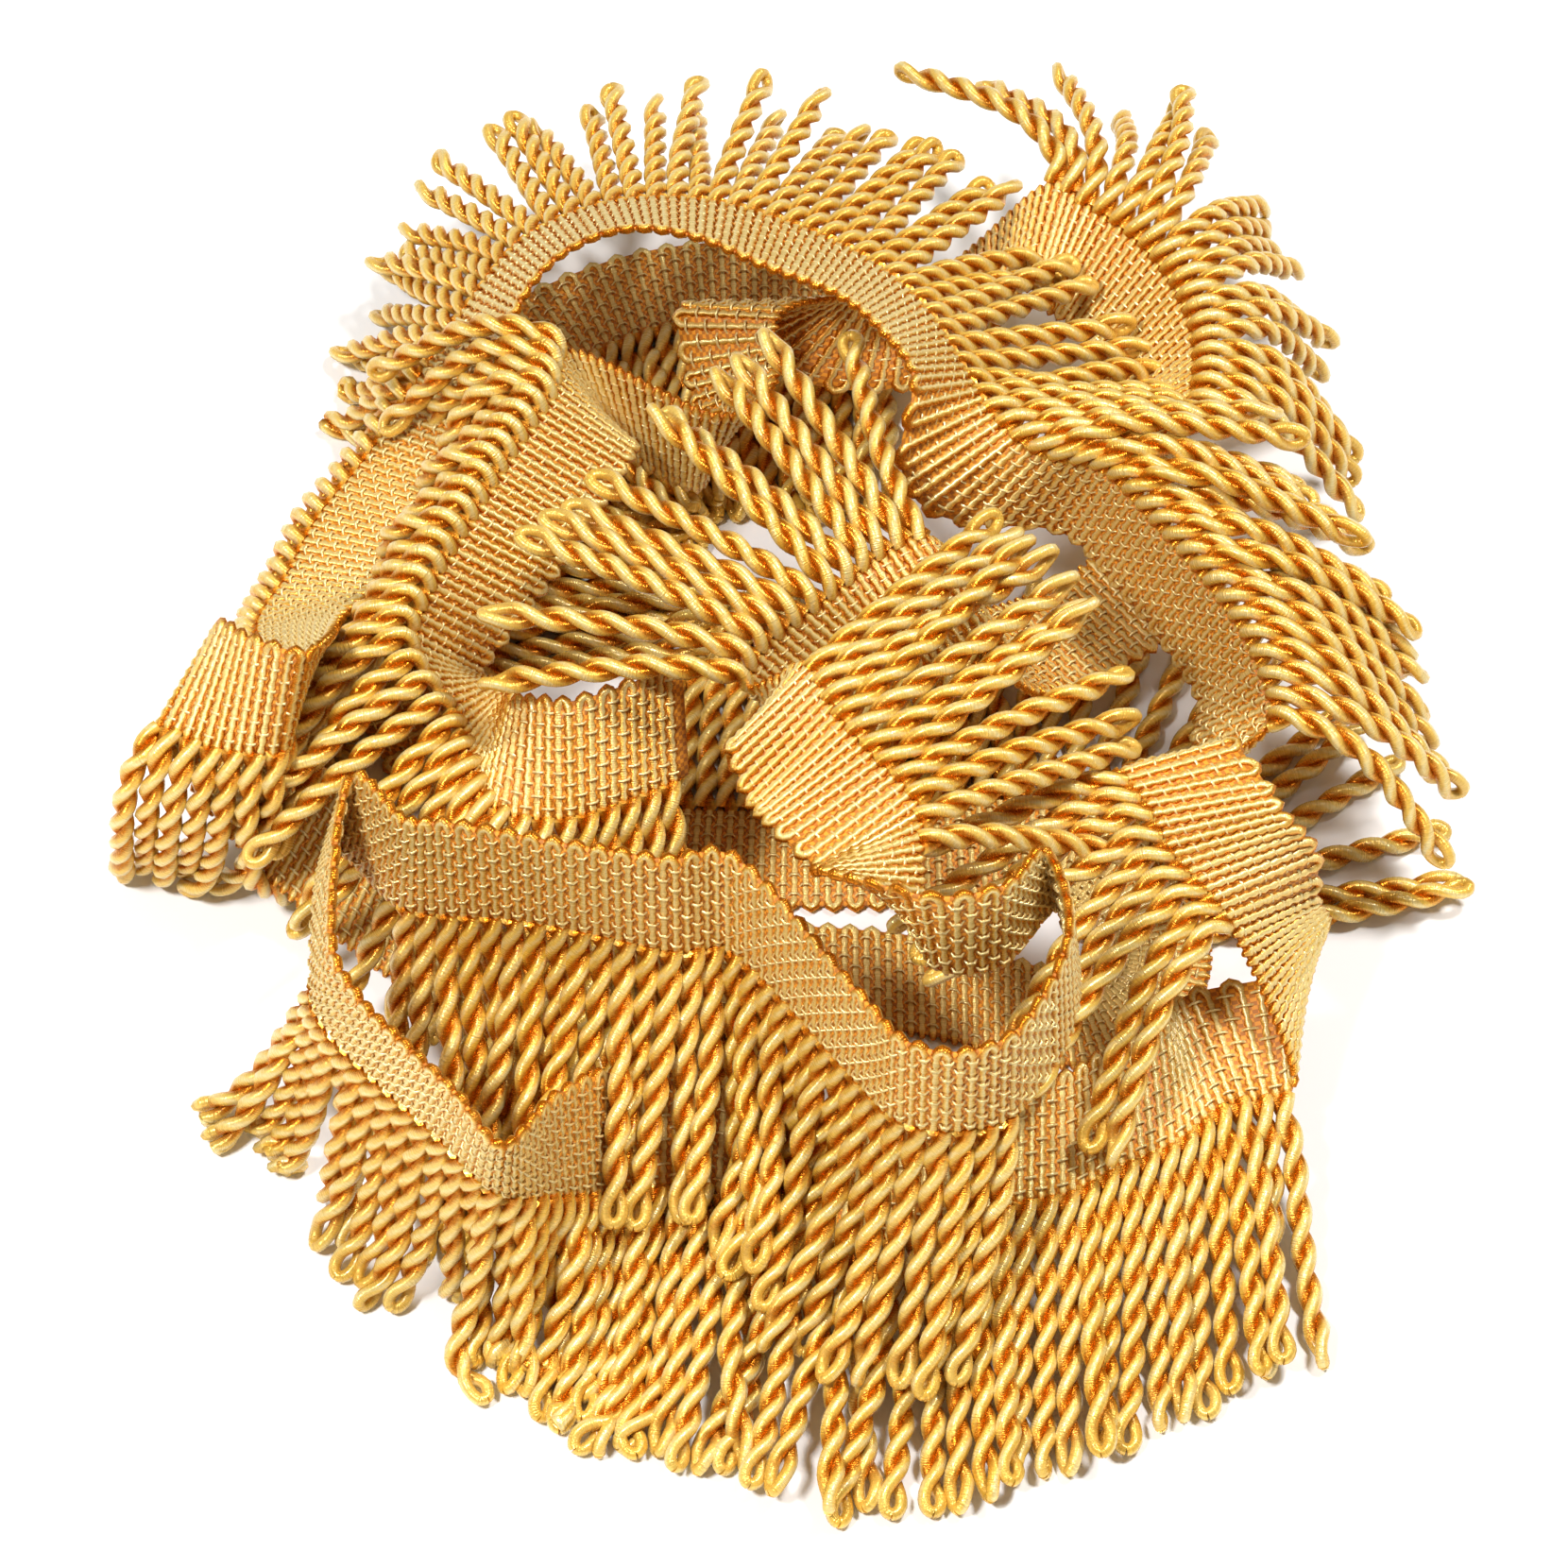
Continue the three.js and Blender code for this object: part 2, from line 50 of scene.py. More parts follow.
# The weave's two tones are its real checker pattern. Both also carry painted shade: they are a deeper orange
# than the gold yarn of the ribs and cords, for a web that lies in shade.
SHADED_WEAVE_PALE = (0.78, 0.30, 0.02, 1)
SHADED_WEAVE_DEEP = (0.46, 0.15, 0.012, 1)
CORD_PITCH = 3.1
STEPS_PER_ROW = 24

# The trim's route in millimetres, run by run: name, whether it is corded, and which side its ribs stand on.
# Columns: x, y and z of the corded edge, turn and tilt of the tape, turn and tilt of the cords in degrees.
ROUTE = [
    ("bed_back", True, 1, [
        (16, 121, 1, 90, 0, -90, 0),
        (10, 123, 1, 90, 0, -90, 0),
        (-8, 124, 1, 92, 0, -88, 0),
        (-24, 120, 1, 108, 0, -75, 0),
    ]),
    ("bed_corner", True, 1, [
        (-41, 107, 1, 140, 0, -42, 0),
    ]),
    ("bed_left", True, 1, [
        (-50, 88, 1, 172, 0, -8, 0),
        (-51, 71, 1, 180, 0, 0, 0),
        (-47, 54, 1, -162, 0, 12, 0),
    ]),
    ("bed_turn", False, 1, [
        (-34, 38, 1, -122, 0, 55, 0),
    ]),
    ("bed_front", True, 1, [
        (-18, 33, 1, -98, 0, 82, 0),
        (-4, 32, 1, -92, 0, 88, 0),
        (16, 32, 1, -90, 0, 90, 0),
    ]),
    ("bed_side", True, 1, [
        (36, 34, 1, -90, 0, 90, 0),
    ]),
    ("bed_right", True, 1, [
        (52, 27, 1, -130, 0, 50, 0),
        (60, 8, 1, 180, 0, 0, 0),
    ]),
    ("bed_end", False, 1, [
        (53, -7, 1, 130, 0, -45, 0),
    ]),
    ("base", False, 1, [
        (38, -11, 1, 92, 0, -90, 0),
        (20, -6, 1, 90, 0, -90, 0),
    ]),
    ("base_front", True, 1, [
        (0, -4, 1, 90, 0, -90, 0),
        (-25, -5, 1, 90, 0, -90, 0),
        (-44, -4, 1, 85, 0, -100, 0),
    ]),
    ("base_rise", False, 1, [
        (-70, 12, 10, 60, 20, -110, -20),
    ]),
    ("left_tuft", True, 1, [
        (-86, 22, 34, 60, 10, 110, -82),
        (-77, 18, 36, 70, 45, 110, -82),
        (-68, 19, 36, 50, 68, 120, -82),
    ]),
    ("left_side", True, 1, [
        (-73, 39, 29, -20, 45, -10, -70),
        (-75, 51, 21, -22, 32, -10, -50),
        (-72, 62, 17, -27, 24, -20, -45),
        (-68, 73, 17, -32, 22, -30, -45),
        (-61, 84, 18, -38, 22, -40, -50),
        (-54, 94, 23, -45, 25, 125, -75),
    ]),
    ("back_arch", True, -1, [
        (-46, 101, 32, -60, 35, 125, -40),
        (-38, 110, 36, -70, 35, 120, -32),
        (-26, 115, 38, -80, 35, 105, -20),
        (-13, 114, 40, -90, 30, 85, -20),
        (0, 108, 42, -100, 25, 75, -20),
        (12, 99, 44, -110, 30, 60, -25),
        (20, 89, 45, -120, 35, 45, -25),
        (26, 77, 44, -130, 40, 25, -25),
        (30, 70, 43, -145, -5, 15, -25),
    ]),
    ("right_side", True, 1, [
        (36, 65, 42, -165, -50, 10, -25),
        (45, 62, 42, 170, -70, 0, -32),
        (53, 52, 41, 165, -70, 0, -42),
        (60, 42, 40, 170, -70, 5, -50),
        (65, 33, 38, 165, -65, 5, -58),
        (67, 24, 34, 165, -50, -20, -55),
    ]),
    ("right_turn", False, 1, [
        (57, 17, 34, -40, -70, -40, -40),
    ]),
    ("right_fold", True, 1, [
        (46, 12, 40, 20, -5, -165, -12),
        (49, 6, 40, 5, 10, -150, -20),
        (52, 0, 38, 10, 12, -128, -25),
        (57, -5, 35, 25, 0, -115, -28),
        (61, -9, 30, 40, -20, -100, -35),
    ]),
    ("front_corner", False, 1, [
        (66, -15, 21, 60, 0, -90, -30),
    ]),
    ("front_right", True, 1, [
        (69, -22, 13, 90, 25, -85, -20),
        (60, -24, 12, 110, 15, -88, -15),
        (53, -30, 12, 95, 15, -90, -15),
        (45, -34, 12, 95, 15, -92, -15),
        (38, -38, 12, 90, 20, -92, -15),
    ]),
    ("front", True, 1, [
        (31, -40, 13, 88, 35, -95, -15),
        (22, -44, 13, 88, 38, -95, -15),
        (14, -45, 12, 88, 28, -100, -15),
        (5, -42, 10, 86, 14, -103, -12),
        (-4, -38, 9, 86, 12, -100, -12),
        (-12, -35, 9, 88, 14, -98, -14),
    ]),
    ("front_left", True, 1, [
        (-21, -37, 11, 90, 30, -97, -32),
        (-29, -43, 20, 95, 66, -95, -62),
        (-37, -49, 31, -60, 80, -92, -78),
        (-45, -43, 36, -45, 72, -100, -80),
        (-53, -35, 36, -40, 68, -110, -78),
        (-60, -26, 34, -40, 66, -115, -80),
        (-63, -16, 30, -30, 75, 180, -65),
    ]),
    ("left_turn", False, -1, [
        (-62, 5, 30, 20, 75, -125, -70),
    ]),
    ("left_bowl", True, -1, [
        (-52, -6, 34, 60, 78, -100, -50),
        (-45, -9, 36, 90, 75, -95, -42),
        (-36, -11, 38, 90, 80, -98, -36),
        (-25, -14, 39, 90, 80, -100, -34),
        (-15, -16, 38, 90, 76, -95, -33),
        (-6, -15, 35, 90, 72, -90, -30),
    ]),
    ("front_fold", True, -1, [
        (9, -33, 34, 80, 80, -125, -40),
        (15, -41, 36, 88, 82, -112, -42),
        (23, -43, 37, 90, 84, -108, -42),
        (31, -39, 36, 95, 80, -100, -42),
    ]),
    ("front_turn", False, 1, [
        (38, -27, 40, 120, 80, -60, -60),
        (36, -15, 46, -150, 80, 20, -70),
    ]),
    ("crown_fold", False, 1, [
        (28, -25, 48, 90, 84, 60, -75),
        (19, -25, 49, 180, 80, 80, -75),
    ]),
    ("crown", True, 1, [
        (18, -11, 52, -155, 25, 30, -35),
        (17, -3, 54, -142, -5, 35, -15),
        (12, 3, 55, -150, -18, 38, 0),
        (7, 10, 55, -140, -20, 42, 0),
        (3, 19, 54, -130, -5, 55, -12),
    ]),
    ("crown_turn", False, 1, [
        (-1, 20, 50, -80, -60, 120, -10),
    ]),
    ("centre", True, -1, [
        (-5, 22, 45, 20, -60, -175, -20),
        (-3, 28, 46, 0, -55, 160, 0),
        (3, 33, 47, -10, -50, 150, -5),
        (8, 37, 48, -30, -50, 135, 0),
        (13, 42, 48, -45, -40, 120, -5),
        (20, 46, 47, -55, -20, 100, 0),
    ]),
    ("under_turn", False, 1, [
        (25, 50, 32, -60, -20, 60, -10),
    ]),
    ("under_right", False, 1, [
        (29, 54, 20, -50, -10, 140, -10),
        (44, 66, 15, -50, -10, 140, -10),
    ]),
    ("under_rise", False, 1, [
        (52, 73, 25, -80, -45, 60, -10),
    ]),
    ("back_right", True, 1, [
        (58, 78, 34, 175, -45, -5, -55),
        (60, 92, 33, -165, -45, 25, -62),
        (58, 103, 32, -155, -45, 55, -55),
        (54, 112, 31, -145, -45, 72, -35),
        (49, 118, 31, -135, -45, 85, -35),
        (44, 122, 31, -115, -35, 110, -30),
        (39, 125, 31, -105, -30, 145, -15),
    ]),
    ("under_back", False, 1, [
        (22, 118, 18, -90, -20, 100, -10),
    ]),
    ("under_arch", False, 1, [
        (1, 104, 28, 165, -15, 50, -35),
        (-1, 97, 26, 165, -30, 45, -35),
        (-2, 90, 26, 165, -45, 40, -35),
    ]),
    ("under_left", False, 1, [
        (-10, 82, 30, -160, -80, -75, -25),
    ]),
    ("inner_left", True, 1, [
        (-30, 87, 38, -50, -60, 165, -40),
        (-33, 76, 42, -5, -45, 180, -80),
        (-39, 63, 43, -5, -42, 185, -84),
        (-44, 52, 43, 0, -42, 188, -84),
        (-49, 42, 41, 10, -48, 190, -80),
        (-51, 34, 38, 30, -55, -150, -55),
        (-45, 25, 34, 60, -30, -150, -45),
    ]),
    ("small_loop", True, -1, [
        (-40, 12, 32, 80, 10, -105, -60),
        (-31, 10, 31, 90, 45, -90, -60),
        (-22, 13, 31, 90, 50, -85, -60),
        (-13, 18, 30, 95, 50, -80, -60),
    ]),
]


def unit(vectors):
    return vectors / np.maximum(np.linalg.norm(vectors, axis=-1, keepdims=True), 1e-9)


def aim(turn, tilt):
    a, b = np.radians(turn), np.radians(tilt)
    return np.stack([np.cos(b) * np.cos(a), np.cos(b) * np.sin(a), np.sin(b)], axis=-1)


run_of_row = np.array([k for k, run in enumerate(ROUTE) for _ in run[3]])
run_corded = np.array([run[1] for run in ROUTE])
run_front = np.array([run[2] for run in ROUTE])
row_table = np.array([row for run in ROUTE for row in run[3]], float)
last_row = len(row_table) - 1
row_edge = row_table[:, 0:3]
row_tape = aim(row_table[:, 3], row_table[:, 4])
row_cord = aim(row_table[:, 5], row_table[:, 6])


# A smooth line through four neighbours, at a share of the way from the second to the third
def curve(a, b, c, d, share):
    bend = (2 * a - 5 * b + 4 * c - d) * share**2 + (3 * b - a - 3 * c + d) * share**3
    return 0.5 * (2 * b + (c - a) * share + bend)


def smooth(rows, place):
    k = np.minimum(np.floor(place).astype(int), last_row - 1)
    return curve(*(rows[np.clip(k + step, 0, last_row)] for step in (-1, 0, 1, 2)), (place - k)[..., None])


row_steps = np.linspace(0, last_row, last_row * STEPS_PER_ROW + 1)
edge_steps = smooth(row_edge, row_steps)
arc = np.concatenate([[0], np.cumsum(np.linalg.norm(np.diff(edge_steps, axis=0), axis=1))])
trim_length = arc[-1]


def row_at(distance):
    return np.interp(distance, arc, row_steps)


# The tape at distances along the trim: its corded edge, its way along, its way up the heading and its face.
def tape_at(distance):
    distance = np.asarray(distance, float)
    row = row_at(distance)
    ahead = smooth(row_edge, row_at(np.minimum(distance + 1, trim_length)))
    behind = smooth(row_edge, row_at(np.maximum(distance - 1, 0)))
    along = unit(ahead - behind)
    tape = unit(smooth(row_tape, row))
    return smooth(row_edge, row), along, tape, unit(np.cross(along, tape))


def front_at(distance):
    return run_front[run_of_row[np.rint(row_at(distance)).astype(int)]]


def on_tape(distance, depth, height):
    edge, _, tape, face = tape_at(distance)
    front = front_at(distance)
    return edge + tape * depth[..., None] + face * (front * height)[..., None]


# The web as a closed ribbon, with a flat map in metres that follows the weave
web_along = np.arange(0, trim_length, CORD_PITCH / 2)
web_depths = np.linspace(WEB_START, WEB_END, WEB_STEPS)
ring_depth = np.concatenate([web_depths, web_depths[::-1]])
ring_height = np.repeat([-WEB_THICKNESS / 2, WEB_THICKNESS / 2], len(web_depths))
edge, along, tape, face = tape_at(web_along)
web_points = (edge[:, None] + tape[:, None] * ring_depth[None, :, None]
              + face[:, None] * ring_height[None, :, None])
web_points[..., 2] = np.maximum(web_points[..., 2], WEB_LOWEST)
ring = len(ring_depth)
web_faces = [
    (k * ring + j, k * ring + (j + 1) % ring, (k + 1) * ring + (j + 1) % ring, (k + 1) * ring + j)
    for k in range(len(web_along) - 1) for j in range(ring)
]
web_faces.append(tuple(range(ring))[::-1])
web_faces.append(tuple(range((len(web_along) - 1) * ring, len(web_along) * ring)))
web_mesh = bpy.data.meshes.new("tape_ground")
web_mesh.from_pydata((web_points.reshape(-1, 3) * MM).tolist(), [], web_faces)
web_map = web_mesh.uv_layers.new(name="weave")
corner_point = np.empty(len(web_mesh.loops), int)
web_mesh.loops.foreach_get("vertex_index", corner_point)
web_uv = np.stack([web_along[corner_point // ring], ring_depth[corner_point % ring]], axis=-1) * MM
web_map.data.foreach_set("uv", web_uv.ravel())
web_mesh.validate()
web_mesh.shade_smooth()
tape_ground = bpy.data.objects.new("tape_ground", web_mesh)
bpy.context.scene.collection.objects.link(tape_ground)

web_finish = bpy.data.materials.new("web_gold")
web_finish.use_nodes = True
nodes, links = web_finish.node_tree.nodes, web_finish.node_tree.links
shade = nodes["Principled BSDF"]
shade.inputs["Roughness"].default_value = 0.6
weave_map = nodes.new("ShaderNodeUVMap")
weave_map.uv_map = "weave"
# The checker's colours are painted shade as well as weave: the whole web is a deeper orange than the gold
# yarn.
weave = nodes.new("ShaderNodeTexChecker")
weave.inputs["Scale"].default_value = WEAVE_COUNT
weave.inputs["Color1"].default_value = SHADED_WEAVE_PALE
weave.inputs["Color2"].default_value = SHADED_WEAVE_DEEP
weave_bump = nodes.new("ShaderNodeBump")
weave_bump.inputs["Strength"].default_value = 0.5
weave_bump.inputs["Distance"].default_value = 0.0002
links.new(weave_map.outputs["UV"], weave.inputs["Vector"])
links.new(weave.outputs["Color"], shade.inputs["Base Color"])
links.new(weave.outputs["Fac"], weave_bump.inputs["Height"])
links.new(weave_bump.outputs["Normal"], shade.inputs["Normal"])
web_mesh.materials.append(web_finish)
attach(tape_ground, "root")
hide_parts("heading_tape")

# Heading ribs: the ply of each cord runs up through the tape, turns back in a small loop at its free edge
# and runs down again, so that each cord has two ribs. Gold rayon wrapped round a core, pinched into beads
# by the binding threads.
BINDING_ROWS = 1.4 + 1.65 * np.arange(9)
RIB_RADIUS = 0.82
RIB_PINCH = 0.52
RIB_RAISED = 0.1
RIB_SIDES = 6
ROOT_DEPTH = -0.5
ROOT_RADIUS = 0.35
LOOP_DEPTHS = [16.1, 16.5, 16.1]
LOOP_ASIDE = [-0.65, 0, 0.65]
LOOP_RADIUS = 0.74
SAME_BOTH_SIDES = -1.0

strand_at = np.arange(0.5, trim_length / CORD_PITCH - 0.5) * CORD_PITCH
bead_gap = BINDING_ROWS[1] - BINDING_ROWS[0]
bead_depth = np.stack([BINDING_ROWS - bead_gap / 2, BINDING_ROWS], axis=1).ravel()
bead_radius = np.tile([RIB_RADIUS, RIB_PINCH], len(BINDING_ROWS))
leg_depth = np.concatenate([[ROOT_DEPTH], bead_depth, [BINDING_ROWS[-1] + bead_gap / 2]])
leg_radius = np.concatenate([[ROOT_RADIUS], bead_radius, [RIB_RADIUS]])
leg_aside = np.ones(len(leg_depth))
rib_depth = np.concatenate([leg_depth, LOOP_DEPTHS, leg_depth[::-1]])
rib_radius = np.concatenate([leg_radius, [LOOP_RADIUS] * len(LOOP_DEPTHS), leg_radius[::-1]])
rib_aside = np.concatenate([-leg_aside, LOOP_ASIDE, leg_aside])
rib_place = strand_at[:, None] + rib_aside[None, :] * CORD_PITCH / 4
rib_points = on_tape(rib_place, np.broadcast_to(rib_depth, rib_place.shape),
                     np.full(rib_place.shape, RIB_RAISED))
rib_points[..., 2] = np.maximum(rib_points[..., 2], rib_radius)


def distance_along(points):
    steps = np.linalg.norm(np.diff(points, axis=1), axis=2)
    return np.concatenate([np.zeros((len(points), 1)), np.cumsum(steps, axis=1)], axis=1)


# A fixed, even spread of values from 0 to 1
def spread_of(count, kind):
    value = np.sin(np.asarray(count) * 12.9898 + kind * 78.233) * 43758.5453
    return value - np.floor(value)


# The yarn tree: it turns centre lines into round yarns, one or more plies twisted round each line.
# The lines carry the ply's radius, its distance from the line, the turn and the side the turn starts from.
# Each yarn keeps how far its surface faces outward. This is the mask for painted shade on its hidden sides
# and a painted highlight along its crest.
yarn_tree = bpy.data.node_groups.new("plied_yarn", "GeometryNodeTree")
yarn_tree.is_modifier = True
yarn_tree.interface.new_socket("Lines", in_out="INPUT", socket_type="NodeSocketGeometry")
plies_socket = yarn_tree.interface.new_socket("Plies", in_out="INPUT", socket_type="NodeSocketInt")
sides_socket = yarn_tree.interface.new_socket("Sides", in_out="INPUT", socket_type="NodeSocketInt")
back_socket = yarn_tree.interface.new_socket("Back Share", in_out="INPUT", socket_type="NodeSocketFloat")
finish_socket = yarn_tree.interface.new_socket("Finish", in_out="INPUT", socket_type="NodeSocketMaterial")
yarn_tree.interface.new_socket("Yarn", in_out="OUTPUT", socket_type="NodeSocketGeometry")


# A node with its settings, and with each named input wired to a socket or set to a value
def add_node(tree, kind, *wires, **settings):
    node = tree.nodes.new(kind)
    for name, value in settings.items():
        setattr(node, name, value)
    for socket, source in wires:
        if isinstance(source, bpy.types.NodeSocket):
            tree.links.new(source, node.inputs[socket])
        else:
            node.inputs[socket].default_value = source
    return node


def yarn_node(kind, *wires, **settings):
    return add_node(yarn_tree, kind, *wires, **settings)


def yarn_math(operation, *values):
    return yarn_node("ShaderNodeMath", *enumerate(values), operation=operation).outputs[0]


def yarn_scaled(vector, scale):
    return yarn_node("ShaderNodeVectorMath", (0, vector), ("Scale", scale), operation="SCALE").outputs[0]


def line_value(name, kind="FLOAT"):
    return yarn_node("GeometryNodeInputNamedAttribute", ("Name", name), data_type=kind).outputs["Attribute"]


given = yarn_node("NodeGroupInput").outputs
lines = yarn_node("GeometryNodeMeshToCurve", ("Mesh", given["Lines"]))
copies = yarn_node("GeometryNodeDuplicateElements", ("Geometry", lines.outputs["Curve"]),
                   ("Amount", given["Plies"]), domain="SPLINE")
ply_share = yarn_math("DIVIDE", 2 * math.pi, given["Plies"])
ply_turn = yarn_math("MULTIPLY_ADD", copies.outputs["Duplicate Index"], ply_share, line_value("turn"))
side = line_value("side", "FLOAT_VECTOR")
way = yarn_node("GeometryNodeInputTangent").outputs["Tangent"]
over = yarn_node("ShaderNodeVectorMath", (0, way), (1, side), operation="CROSS_PRODUCT").outputs[0]
sideways = yarn_scaled(side, yarn_math("COSINE", ply_turn))
upwards = yarn_scaled(over, yarn_math("SINE", ply_turn))
outward = yarn_node("ShaderNodeVectorMath", (0, sideways), (1, upwards), operation="ADD").outputs[0]
placed = yarn_node("GeometryNodeSetPosition", ("Geometry", copies.outputs["Geometry"]),
                   ("Offset", yarn_scaled(outward, line_value("apart"))))
aimed = yarn_node("GeometryNodeStoreNamedAttribute", ("Geometry", placed.outputs["Geometry"]),
                  ("Name", "outward"), ("Value", outward), data_type="FLOAT_VECTOR", domain="POINT")
circle = yarn_node("GeometryNodeCurvePrimitiveCircle", ("Resolution", given["Sides"]), ("Radius", 1.0))
tubes = yarn_node("GeometryNodeCurveToMesh", ("Curve", aimed.outputs["Geometry"]),
                  ("Profile Curve", circle.outputs["Curve"]), ("Scale", line_value("thick")),
                  ("Fill Caps", True))
lean = yarn_node("ShaderNodeVectorMath", (0, yarn_node("GeometryNodeInputNormal").outputs["Normal"]),
                 (1, line_value("outward", "FLOAT_VECTOR")), operation="DOT_PRODUCT").outputs["Value"]
leaning = yarn_math("MAXIMUM", lean, yarn_math("MULTIPLY", lean, given["Back Share"]))
facing = yarn_math("MAXIMUM", leaning, line_value("open"))
faced = yarn_node("GeometryNodeStoreNamedAttribute", ("Geometry", tubes.outputs["Mesh"]), ("Name", "facing"),
                  ("Value", facing), data_type="FLOAT", domain="POINT")
rounded = yarn_node("GeometryNodeSetShadeSmooth", ("Geometry", faced.outputs["Geometry"]))
real = yarn_node("GeometryNodeRealizeInstances", ("Geometry", rounded.outputs["Geometry"]))
finished = yarn_node("GeometryNodeSetMaterial", ("Geometry", real.outputs["Geometry"]),
                     ("Material", given["Finish"]))
yarn_node("NodeGroupOutput", ("Yarn", finished.outputs["Geometry"]))


# A piece of yarns from centre lines in millimetres, with the values that each point carries
def yarns(name, points, plies, sides, back_share, finish, **values):
    count, length = points.shape[:2]
    starts = np.arange(count * length).reshape(count, length)
    pairs = np.stack([starts[:, :-1], starts[:, 1:]], axis=-1).reshape(-1, 2)
    mesh = bpy.data.meshes.new(name + "_lines")
    mesh.from_pydata((points.reshape(-1, 3) * MM).tolist(), pairs.tolist(), [])
    for key, value in values.items():
        if key == "side":
            mesh.attributes.new(key, "FLOAT_VECTOR", "POINT").data.foreach_set("vector", np.ravel(value))
            continue
        scale = MM if key in ("thick", "apart", "along") else 1
        value = np.broadcast_to(value, (count, length)).ravel() * scale
        mesh.attributes.new(key, "FLOAT", "POINT").data.foreach_set("value", value)
    piece = bpy.data.objects.new(name, mesh)
    bpy.context.scene.collection.objects.link(piece)
    twist = piece.modifiers.new("yarn", "NODES")
    twist.node_group = yarn_tree
    twist[plies_socket.identifier] = plies
    twist[sides_socket.identifier] = sides
    twist[back_socket.identifier] = back_share
    twist[finish_socket.identifier] = finish
    evaluated = piece.evaluated_get(bpy.context.evaluated_depsgraph_get())
    solid = bpy.data.meshes.new_from_object(evaluated)
    piece.modifiers.clear()
    piece.data = solid
    solid.name = name
    bpy.data.meshes.remove(mesh)
    return piece


# Wrapped yarn: fine turns of floss round a core, with patches of paler and deeper gold on its crest. Painted
# light: a painted highlight, a pale streak, runs along the top of the crest; painted shade, an orange gold,
# lies where it turns in towards its neighbour and in the grooves between the turns of floss.
FLOSS_WANDER_SCALE = 700.0
FLOSS_WANDER = 2.0
YARNS_APART = 500.0
FLOSS_RANGE = (0.3, 0.7)
PATCH_SCALE = 90.0
PAINTED_HIGHLIGHT_RANGE = (0.72, 1.0)
PAINTED_HIGHLIGHT_SHARE = 0.8
PAINTED_HIGHLIGHT_COLOUR = (1.0, 0.86, 0.42, 1)
PAINTED_GROOVE_SHADE = 0.65
CREVICE_METAL = 0.8
CREST_METAL = 0.3
CREST_GLOSS = 0.4
GROOVE_ROUGHNESS = 0.3
FLOSS_SMOOTHER = 0.08

FLOAT, COLOUR = "NodeSocketFloat", "NodeSocketColor"
wrapped = bpy.data.node_groups.new("wrapped_yarn", "ShaderNodeTree")
for name, kind in (("Along", FLOAT), ("Tint", FLOAT), ("Wrap Width", FLOAT), ("Facing", FLOAT),
                   ("Crest Start", FLOAT), ("Crest End", FLOAT), ("Pale", COLOUR), ("Deep", COLOUR),
                   ("Crevice Shade", COLOUR)):
    wrapped.interface.new_socket(name, in_out="INPUT", socket_type=kind)
for name, kind in (("Colour", COLOUR), ("Roughness", FLOAT), ("Metal", FLOAT), ("Gloss", FLOAT),
                   ("Height", FLOAT)):
    wrapped.interface.new_socket(name, in_out="OUTPUT", socket_type=kind)


def wrapped_math(operation, *values, **settings):
    return add_node(wrapped, "ShaderNodeMath", *enumerate(values), operation=operation, **settings).outputs[0]


def wrapped_noise(*wires, **settings):
    return add_node(wrapped, "ShaderNodeTexNoise", *wires, **settings).outputs["Fac"]


def wrapped_range(value, start, end, *wires, **settings):
    return add_node(wrapped, "ShaderNodeMapRange", ("Value", value), ("From Min", start), ("From Max", end),
                    *wires, **settings).outputs["Result"]


def wrapped_mix(share, first, second):
    return add_node(wrapped, "ShaderNodeMix", ("Factor", share), (6, first), (7, second),
                    data_type="RGBA").outputs[2]


given = add_node(wrapped, "NodeGroupInput").outputs
place = add_node(wrapped, "ShaderNodeTexCoord").outputs["Object"]
wander = wrapped_noise(("Vector", place), ("Scale", FLOSS_WANDER_SCALE), ("Detail", 2.0))
turns = wrapped_math("DIVIDE", given["Along"], given["Wrap Width"])
own_turns = wrapped_math("MULTIPLY_ADD", given["Tint"], YARNS_APART, turns)
uneven = wrapped_math("MULTIPLY_ADD", wander, FLOSS_WANDER, own_turns)
floss = wrapped_noise(("W", uneven), ("Scale", 1.0), ("Detail", 2.0), noise_dimensions="1D")
height = wrapped_range(floss, *FLOSS_RANGE)
patches = wrapped_noise(("Vector", place), ("Scale", PATCH_SCALE), ("Detail", 3.0))
paleness = wrapped_math("MULTIPLY", wrapped_math("ADD", patches, given["Tint"]), 0.5, use_clamp=True)
gold = wrapped_mix(paleness, given["Deep"], given["Pale"])
# Painted shade: the crevice colour where the surface turns in, mixed towards the gold on the crest. Metal and
# coat follow the same mask.
crest = wrapped_range(given["Facing"], given["Crest Start"], given["Crest End"],
                      interpolation_type="SMOOTHSTEP")
# Painted highlight: a pale streak mixed into the colour along the top of the crest.
painted_highlight = wrapped_range(given["Facing"], *PAINTED_HIGHLIGHT_RANGE, ("To Max", PAINTED_HIGHLIGHT_SHARE),
                       interpolation_type="SMOOTHSTEP")
gold_with_painted_light = wrapped_mix(painted_highlight, wrapped_mix(crest, given["Crevice Shade"], gold), PAINTED_HIGHLIGHT_COLOUR)
